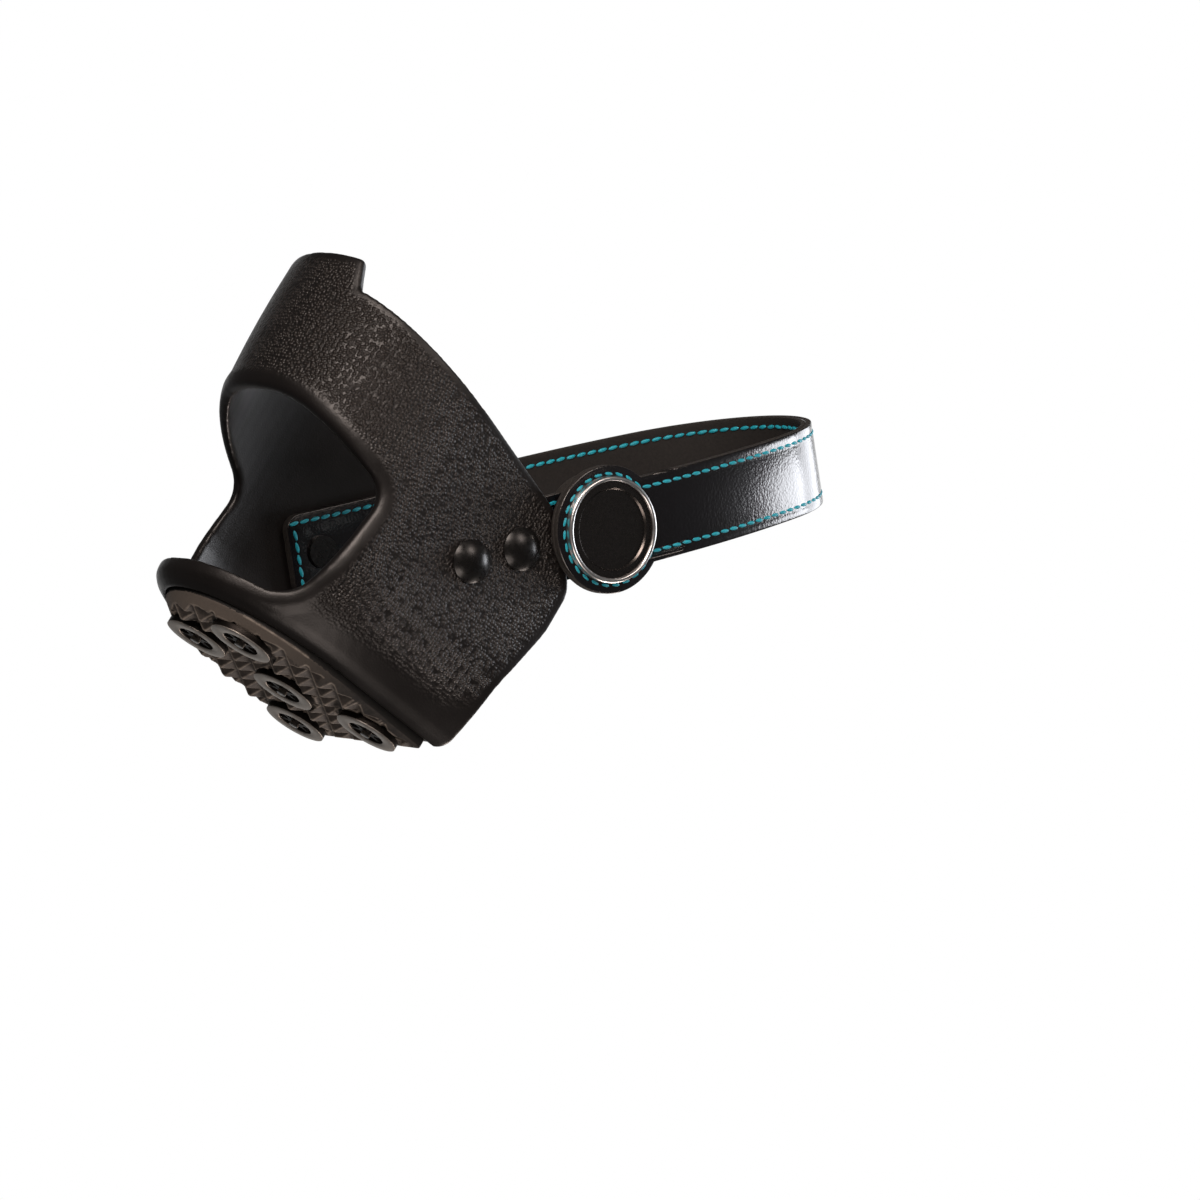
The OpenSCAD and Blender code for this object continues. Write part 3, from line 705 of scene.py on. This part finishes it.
class SPUR_OT_studs(bpy.types.Operator):
    """Makes the steel studs and their hard pins"""
    bl_idname = "spur.studs"
    bl_label = "Ice studs"

    def execute(self, context):
        s = context.scene.spur_studs
        steel = plated_steel()
        carbide = ground_metal("ground_carbide", s.carbide, 0.36, 0.5 * MM)
        kinds = (("stud", steel, "stud_steel"), ("stud_pin", carbide, "pin_carbide"))
        for name in STUDS:
            for kind, metal, slot in kinds:
                node = "%s_%s" % (kind, name)
                bm = merged_copy(node)
                soften(bm, crisp_edges(bm, math.radians(50)), s.edge)
                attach(piece(node + "_turning", bm, [metal], [node]), "shell")
        return {"FINISHED"}


# Stitching
def stitch_row(bm, points, normals, s):
    """Lays stitches end to end along a line that lies on a face with those normals."""
    lengths = [0.0]
    for a, b in zip(points, points[1:]):
        lengths.append(lengths[-1] + (b - a).length)
    count = max(1, round(lengths[-1] / s.stitch_pitch))
    pitch = lengths[-1] / count
    slant = math.radians(7)
    height = 0.42 * s.thread
    shape = Matrix.Diagonal((s.stitch / 2, s.thread / 2, height, 1))
    k = 0
    for i in range(count):
        at = (i + 0.5) * pitch
        while lengths[k + 1] < at:
            k += 1
        t = (at - lengths[k]) / (lengths[k + 1] - lengths[k])
        along = (points[k + 1] - points[k]).normalized()
        up = normals[k].lerp(normals[k + 1], t).normalized()
        across = up.cross(along).normalized()
        axes = Matrix((across.cross(up), across, up)).transposed().to_4x4()
        place = Matrix.Translation(points[k].lerp(points[k + 1], t)) @ axes @ Matrix.Rotation(slant, 4, "Z")
        bmesh.ops.create_uvsphere(bm, u_segments=8, v_segments=6, radius=1.0,
                                  matrix=place @ shape @ Matrix.Rotation(math.pi / 2, 4, "Y"))


# Strap
def strap_place(s):
    """From the strap's own frame, X along it from the snaps and Z across its width, to the row's."""
    return Matrix.Translation(SNAP) @ Matrix.Rotation(-s.angle, 4, "Y")


def strap_bends(s):
    """Where the strap lies over the panel, the radii of its sides and crown, and the crown's middle."""
    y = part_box("strap_end_lining_left")[0].y
    run = s.reach - s.outer - s.lining - s.flat
    sine, cosine = math.sin(s.side_turn), math.cos(s.side_turn)
    divisor = sine * cosine - (1 - sine) * (1 - cosine)
    side = (run * cosine - y * (1 - sine)) / divisor
    crown = (y * sine - run * (1 - cosine)) / divisor
    return y, side, crown, s.reach - s.outer - s.lining - crown


def spun(bm, geom, centre, axis, angle, steps):
    """Spins some of a bmesh and returns what stands at the end of the turn."""
    made = bmesh.ops.spin(bm, geom=geom, cent=centre, axis=axis, dvec=(0, 0, 0), angle=angle, steps=steps,
                          use_merge=False)
    return made["geom_last"]


def strap_ply(s, inner, outer):
    """The left half of one ply: its round end with its neck, the long side and half of the crown."""
    y, side, _, crown_x = strap_bends(s)
    half, radius = s.width / 2, s.paddle / 2
    neck = math.asin(half / radius)
    bm = bmesh.new()
    first = bm.verts.new((radius * math.cos(neck), y + inner, half))
    last = spun(bm, [first], (0, y + inner, 0), (0, 1, 0), 2 * neck - 2 * math.pi, 64)[0]
    ends = []
    for v in (first, last):
        grown = bmesh.ops.extrude_vert_indiv(bm, verts=[v])["verts"][0]
        grown.co.x = s.flat
        ends.append(grown)
    bm.edges.new(ends)
    bmesh.ops.contextual_create(bm, geom=bm.edges[:])
    walls = bmesh.ops.extrude_face_region(bm, geom=bm.faces[:])["geom"]
    lifted = [g for g in walls if isinstance(g, bmesh.types.BMVert)]
    bmesh.ops.translate(bm, vec=(0, outer - inner, 0), verts=lifted)
    tip = [f for f in bm.faces if all(abs(v.co.x - s.flat) < 0.01 * MM for v in f.verts)]
    seam = math.radians(0.1)
    tip = spun(bm, tip, (s.flat, y - side, 0), (0, 0, 1), -s.side_turn, 16)
    tip = spun(bm, tip, (crown_x, 0, 0), (0, 0, 1), s.side_turn + seam - math.pi / 2, 36)
    spun(bm, tip, (crown_x, 0, 0), (0, 0, 1), -seam, 1)
    bmesh.ops.remove_doubles(bm, verts=bm.verts, dist=WELD)
    bmesh.ops.recalc_face_normals(bm, faces=bm.faces)
    rims = [e for e in crisp_edges(bm, math.radians(60)) if max(abs(v.co.y) for v in e.verts) > 0.05 * MM]
    soften(bm, rims, s.edge)
    return bm


def draw_in_stitch_lines(bm, s, way):
    """Cuts a ply along its stitch lines and draws in its outer face, way 1, or its inner face, way -1."""
    line = s.width / 2 - s.stitch_inset
    for sign in (-1, 1):
        for shift in (-s.thread, 0, s.thread):
            bmesh.ops.bisect_plane(bm, geom=bm.verts[:] + bm.edges[:] + bm.faces[:], dist=WELD,
                                   plane_co=(0, 0, sign * (line + shift)), plane_no=(0, 0, 1))
    start = s.flat / 2
    bm.normal_update()
    for v in bm.verts:
        on_line = abs(abs(v.co.z) - line) < 0.01 * MM and v.co.x > start and v.normal.z ** 2 < 0.3
        if on_line and way * (v.normal.x + v.normal.y) > 0:
            v.co -= v.normal * s.groove


def mark_cut_edges(bm, s):
    """Gives the leather's cut edges their own finish."""
    for f in bm.faces:
        middle = f.calc_center_median()
        on_band = middle.x > s.flat
        edge = abs(f.normal.z) > 0.75 if on_band else abs(f.normal.y) < 0.65
        f.material_index = 1 if edge else 0


def strap_line(s, lift, sign):
    """The left half's stitch line on one face, from the crown to the back of the round end."""
    y, side, crown, crown_x = strap_bends(s)
    across = sign * (s.width / 2 - s.stitch_inset)
    ring = s.paddle / 2 - s.ring_inset
    turn = math.degrees(s.side_turn)
    up = 1 if lift > 0 else -1
    points, normals = [], []
    for centre, radius, start, end, steps in (((crown_x, 0), crown + lift, 0, 90 - turn, 30),
                                              ((s.flat, y - side), side + lift, 90 - turn, 90, 12)):
        for p in arc(centre, radius, start, end, steps):
            points.append(Vector((p[0], p[1], across)))
            normals.append(up * Vector((p[0] - centre[0], p[1] - centre[1], 0)).normalized())
    meeting = math.degrees(math.asin(abs(across) / ring))
    for p in arc((0, 0), ring, meeting, 180, 30):
        points.append(Vector((p[0], y + lift, sign * p[1])))
        normals.append(Vector((0, up, 0)))
    return points, normals


class SPUR_OT_strap(bpy.types.Operator):
    """Makes the strap's two plies and its stitches, each as two halves that meet at the crown"""
    bl_idname = "spur.strap"
    bl_label = "Strap"

    def execute(self, context):
        s = context.scene.spur_strap
        face, edge, back, thread = leather_finishes()
        thickness = s.lining + s.outer
        place = strap_place(s)
        for side in SIDES:
            outer = strap_ply(s, s.lining, thickness)
            draw_in_stitch_lines(outer, s, 1)
            mark_cut_edges(outer, s)
            lining = strap_ply(s, 0.0, s.lining)
            draw_in_stitch_lines(lining, s, -1)
            mark_cut_edges(lining, s)
            stitches = bmesh.new()
            for sign in (-1, 1):
                stitch_row(stitches, *strap_line(s, thickness - s.groove, sign), s)
                stitch_row(stitches, *strap_line(s, 0.0, sign), s)
            outer_nodes = ["strap_outer", "strap_end_outer_" + side]
            lining_nodes = ["strap_lining", "strap_end_lining_" + side]
            for name, bm, materials, slot, nodes in (
                    ("strap_leather_" + side, outer, [face, edge], "strap_leather", outer_nodes),
                    ("strap_lining_" + side, lining, [back, edge], "lining_leather", lining_nodes),
                    ("strap_stitches_" + side, stitches, [thread], "strap_leather", [])):
                self.settle(bm, side, place)
                made = piece(name, bm, materials, nodes, math.radians(50))
                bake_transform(made)
        return {"FINISHED"}

    def settle(self, bm, side, place):
        """Moves a left half to its side and its place."""
        if side == "right":
            bmesh.ops.scale(bm, vec=(1, -1, 1), verts=bm.verts)
            bmesh.ops.reverse_faces(bm, faces=bm.faces)
        bmesh.ops.transform(bm, matrix=place, verts=bm.verts)


# Tabs, rivets and snaps
class SPUR_OT_tabs(bpy.types.Operator):
    """Makes the leather tabs inside the shell and their stitches"""
    bl_idname = "spur.tabs"
    bl_label = "Leather tabs"

    def execute(self, context):
        s = context.scene.spur_strap
        face, edge, _, thread = leather_finishes()
        place = Matrix.Translation(Vector((SNAP.x, 0, SNAP.z))) @ Matrix.Rotation(-s.tab_angle, 4, "Y")
        for side in SIDES:
            node = "tab_" + side
            bm = merged_copy(node)
            soften(bm, crisp_edges(bm, math.radians(60)), s.edge)
            for f in bm.faces:
                f.material_index = 1 if abs(f.normal.y) < 0.65 else 0
            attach(piece(node + "_leather", bm, [face, edge], [node]), "shell")
            low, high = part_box(node)
            stitches = bmesh.new()
            for y, up in ((low.y, -1), (high.y, 1)):
                points = [place @ Vector((p[0], y, p[1])) for p in self.line(s)]
                stitch_row(stitches, points, [Vector((0, up, 0))] * len(points), s)
            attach(piece(node + "_stitches", stitches, [thread]), "shell")
        return {"FINISHED"}

    def line(self, s):
        """The tab's stitch line: round its end, along its sides and across its lower edge."""
        ring = s.tab_end / 2 - s.ring_inset
        half = s.tab_width / 2 - s.ring_inset
        end = -s.tab_length + s.ring_inset
        meeting = 180 - math.degrees(math.asin(half / ring))
        loop = arc((0, 0), ring, -meeting, meeting, 40)
        return [(end, -half)] + loop + [(end, half), (end, -half)]


class SPUR_OT_rivets(bpy.types.Operator):
    """Finishes the domed rivets"""
    bl_idname = "spur.rivets"
    bl_label = "Rivets"

    def execute(self, context):
        enamel = finish("stoved_black_enamel", gloss_enamel)
        for side in SIDES:
            for level in LEVELS:
                dress("rivet_cap_%s_%s" % (side, level), enamel)
                dress("rivet_post_%s_%s" % (side, level), enamel)
        return {"FINISHED"}


class SPUR_OT_snaps(bpy.types.Operator):
    """Makes the snap caps with their bright rims, and finishes the snaps' inner pieces"""
    bl_idname = "spur.snaps"
    bl_label = "Snaps"

    def execute(self, context):
        s = context.scene.spur_metal
        bright, dark = snap_finishes()
        wire = ground_metal("drawn_spring_wire", linear("#8b8984"), 0.3, 0.4 * MM)
        for side, sign in SIDES.items():
            node = "snap_cap_" + side
            low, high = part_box(node)
            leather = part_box("strap_end_outer_" + side)[1 if sign > 0 else 0].y
            height = abs((high.y if sign > 0 else low.y) - leather)
            radius = (high.x - low.x) / 2
            bm = turned(self.outline(s, radius, height), outwards(side, SNAP.x, leather, SNAP.z), 128)
            face_reach = radius - 1.2 * s.cap_rim
            for f in bm.faces:
                c = f.calc_center_median()
                on_face = math.hypot(c.x - SNAP.x, c.z - SNAP.z) < face_reach
                f.material_index = 1 if on_face and c.y * sign > abs(leather) else 0
            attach(piece(node + "_pressing", bm, [bright, dark], [node], math.radians(30)),
                    "snap_end_" + side)
            for name in ("snap_stud_", "snap_post_", "snap_socket_"):
                dress(name + side, bright)
            dress("snap_spring_" + side, wire)
        return {"FINISHED"}

    def outline(self, s, radius, height):
        """The cap from the middle of its face, over its round rim, to the leather."""
        face = height - s.cap_recess
        step = s.cap_step / 2
        inner = radius - s.cap_rim
        curl = s.cap_rim / 2
        flat = [(0, face - s.step_depth), (step - s.step_depth, face - s.step_depth)]
        ramp = [(step, face), (inner - 0.4 * s.cap_rim, face)]
        return flat + ramp + arc((inner + curl, height - curl), curl, 180, 0, 14) + [(radius, 0), (0, 0)]


# Stage
def camera_axes(s):
    """The camera's right, up and forward directions."""
    right = Vector((math.cos(s.azimuth), -math.sin(s.azimuth), 0))
    ahead = Vector((math.sin(s.azimuth) * math.cos(s.rise), math.cos(s.azimuth) * math.cos(s.rise),
                    math.sin(s.rise)))
    above = right.cross(ahead)
    x_way = math.cos(s.roll) * right + math.sin(s.roll) * above
    y_way = math.cos(s.roll) * above - math.sin(s.roll) * right
    return x_way, y_way, ahead


class SPUR_OT_stage(bpy.types.Operator):
    """Sets the camera, the soft lights, the white surround and the floor"""
    bl_idname = "spur.stage"
    bl_label = "Stage"

    picture = 1200
    stud_at = (282.3, 691.5)

    def execute(self, context):
        s = context.scene.spur_stage
        self.set_camera(context.scene, s)
        self.set_lights(context.scene, s)
        self.set_world(context.scene, s)
        self.set_floor(context.scene, s)
        context.scene.view_settings.view_transform = "Standard"
        return {"FINISHED"}

    def set_camera(self, scene, s):
        """A long lens that sees the middle stud low on the left of the picture."""
        x_way, y_way, ahead = camera_axes(s)
        low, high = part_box("stud_middle")
        stud = Vector(((low.x + high.x) / 2, (low.y + high.y) / 2, low.z))
        focal = s.distance / s.scale
        aim = ahead * focal + x_way * (self.picture / 2 - self.stud_at[0])
        aim += y_way * (self.stud_at[1] - self.picture / 2)
        back = -aim.normalized()
        side = (x_way - back * x_way.dot(back)).normalized()
        lens = bpy.data.cameras.new("camera")
        lens.sensor_width = 36
        lens.lens = lens.sensor_width * focal / self.picture
        lens.clip_start, lens.clip_end = 0.05, 20
        camera = bpy.data.objects.new("camera", lens)
        axes = Matrix((side, back.cross(side), back)).transposed().to_4x4()
        camera.matrix_world = Matrix.Translation(stud - ahead * s.distance) @ axes
        scene.collection.objects.link(camera)
        scene.camera = camera

    def set_lights(self, scene, s):
        """Large soft lamps round the object, placed by the camera's own axes."""
        x_way, y_way, ahead = camera_axes(s)
        middle = (CAD_BOX[0] + CAD_BOX[1]) / 2
        warm, cool = linear("#ffeee4"), linear("#f7f9ff")
        lamps = (("key", (-0.22, 0.62, -0.75), 0.55, 7.8, warm),
                 ("top", (0.6, 0.5, -0.6), 0.4, 1.8, warm),
                 ("right", (0.974, 0.02, 0.225), 0.36, 2.4, cool),
                 ("back", (0.8, 0.05, 0.6), 0.6, 2.8, cool),
                 ("under", (-0.1, -0.7, -0.7), 0.5, 2.4, warm),
                 ("below", (0.4, -0.82, 0.4), 0.45, 6.0, warm))
        for name, way, size, watts, tint in lamps:
            lamp = bpy.data.lights.new(name, "AREA")
            lamp.color = tint[:3]
            lamp.shape = "DISK"
            lamp.size = size
            lamp.energy = watts
            offset = x_way * way[0] + y_way * way[1] + ahead * way[2]
            holder = bpy.data.objects.new(name, lamp)
            facing = offset.to_track_quat("Z", "Y").to_matrix().to_4x4()
            holder.matrix_world = Matrix.Translation(middle + offset) @ facing
            scene.collection.objects.link(holder)

    def set_world(self, scene, s):
        """White where the camera looks at it and in what mirrors the backdrop, in a dim studio."""
        world = bpy.data.worlds.new("studio")
        scene.world = world
        world.use_nodes = True
        tree = world.node_tree
        tree.nodes.clear()
        way = add_node(tree, "ShaderNodeTexCoord", {}, {}).outputs["Generated"]
        facing = add_node(tree, "ShaderNodeVectorMath", {"operation": "DOT_PRODUCT"}, {
            0: way, 1: camera_axes(s)[2]}).outputs["Value"]
        soft = add_node(tree, "ShaderNodeMapRange", {"interpolation_type": "SMOOTHSTEP"}, {
            "Value": facing, "From Min": -0.3, "From Max": 0.8, "To Min": 0.05,
            "To Max": 0.3}).outputs["Result"]
        backdrop = add_node(tree, "ShaderNodeMapRange", {"interpolation_type": "SMOOTHSTEP"}, {
            "Value": facing, "From Min": 0.8, "From Max": 1.0, "To Min": 0.05,
            "To Max": 1.0}).outputs["Result"]
        rays = add_node(tree, "ShaderNodeLightPath", {}, {}).outputs
        mirrored = add_node(tree, "ShaderNodeMath", {"operation": "MAXIMUM"}, {
            0: rays["Is Glossy Ray"], 1: rays["Is Transmission Ray"]}).outputs[0]
        level = add_node(tree, "ShaderNodeMix", {"data_type": "FLOAT"}, {
            "Factor": mirrored, 2: soft, 3: backdrop}).outputs[0]
        strength = add_node(tree, "ShaderNodeMix", {"data_type": "FLOAT"}, {
            "Factor": rays["Is Camera Ray"], 2: level, 3: 1.0}).outputs[0]
        shade = add_node(tree, "ShaderNodeBackground", {}, {
            "Color": (1, 1, 1, 1), "Strength": strength}).outputs["Background"]
        add_node(tree, "ShaderNodeOutputWorld", {}, {"Surface": shade})

    def set_floor(self, scene, s):
        """A pale floor that fades into the white, and that is seen from above only."""
        bm = bmesh.new()
        bmesh.ops.create_grid(bm, x_segments=1, y_segments=1, size=1.0)
        mesh = bpy.data.meshes.new("floor")
        bm.to_mesh(mesh)
        bm.free()
        floor = bpy.data.objects.new("floor", mesh)
        scene.collection.objects.link(floor)
        made = bpy.data.materials.new("pale_floor")
        made.use_nodes = True
        tree = made.node_tree
        tree.nodes.clear()
        seen = add_node(tree, "ShaderNodeLightPath", {}, {}).outputs["Is Camera Ray"]
        under = add_node(tree, "ShaderNodeNewGeometry", {}, {}).outputs["Backfacing"]
        above = add_node(tree, "ShaderNodeMath", {"operation": "SUBTRACT", "use_clamp": True}, {
            0: seen, 1: under}).outputs[0]
        place = add_node(tree, "ShaderNodeTexCoord", {}, {}).outputs["Object"]
        away = add_node(tree, "ShaderNodeVectorMath", {"operation": "LENGTH"}, {0: place}).outputs["Value"]
        near = add_node(tree, "ShaderNodeMapRange", {"interpolation_type": "SMOOTHSTEP"}, {
            "Value": away, "From Min": 0.1, "From Max": 0.45, "To Min": 1.0,
            "To Max": 0.0}).outputs["Result"]
        shown = add_node(tree, "ShaderNodeMath", {"operation": "MULTIPLY"}, {0: above, 1: near}).outputs[0]
        matt = add_node(tree, "ShaderNodeBsdfDiffuse", {}, {"Color": s.floor}).outputs["BSDF"]
        glow = add_node(tree, "ShaderNodeEmission", {}, {
            "Color": (1, 1, 1, 1), "Strength": 0.42}).outputs["Emission"]
        lifted = add_node(tree, "ShaderNodeAddShader", {}, {0: matt, 1: glow}).outputs["Shader"]
        clear = add_node(tree, "ShaderNodeBsdfTransparent", {}, {}).outputs["BSDF"]
        mixed = add_node(tree, "ShaderNodeMixShader", {}, {0: shown, 1: clear, 2: lifted}).outputs["Shader"]
        add_node(tree, "ShaderNodeOutputMaterial", {}, {"Surface": mixed})
        mesh.materials.append(made)


# Panel and registration
class SPUR_PT_panel(bpy.types.Panel):
    """Lists the spur's pieces and their settings"""
    bl_idname = "SPUR_PT_panel"
    bl_label = "Heel spur"
    bl_space_type = "VIEW_3D"
    bl_region_type = "UI"
    bl_category = "Heel spur"

    def draw(self, context):
        for operator in OPERATORS:
            self.layout.operator(operator.bl_idname)
        for name in SETTINGS:
            box = self.layout.box()
            group = getattr(context.scene, name)
            for key in group.bl_rna.properties.keys():
                if key not in ("rna_type", "name"):
                    box.prop(group, key)


OPERATORS = (SPUR_OT_shell, SPUR_OT_tread, SPUR_OT_studs, SPUR_OT_tabs, SPUR_OT_rivets, SPUR_OT_snaps,
             SPUR_OT_strap, SPUR_OT_stage)
SETTINGS = {"spur_shell": ShellSettings, "spur_studs": StudSettings, "spur_strap": StrapSettings,
            "spur_metal": MetalSettings, "spur_stage": StageSettings}


def register():
    for group in SETTINGS.values():
        bpy.utils.register_class(group)
    for operator in OPERATORS:
        bpy.utils.register_class(operator)
    bpy.utils.register_class(SPUR_PT_panel)
    for name, group in SETTINGS.items():
        setattr(bpy.types.Scene, name, PointerProperty(type=group))


def unregister():
    for name in SETTINGS:
        delattr(bpy.types.Scene, name)
    bpy.utils.unregister_class(SPUR_PT_panel)
    for operator in reversed(OPERATORS):
        bpy.utils.unregister_class(operator)
    for group in reversed(list(SETTINGS.values())):
        bpy.utils.unregister_class(group)


def main():
    register()
    bpy.ops.spur.shell()
    bpy.ops.spur.tread()
    bpy.ops.spur.studs()
    bpy.ops.spur.tabs()
    bpy.ops.spur.rivets()
    bpy.ops.spur.snaps()
    bpy.ops.spur.strap()
    bpy.ops.spur.stage()


if __name__ == "__main__":
    main()
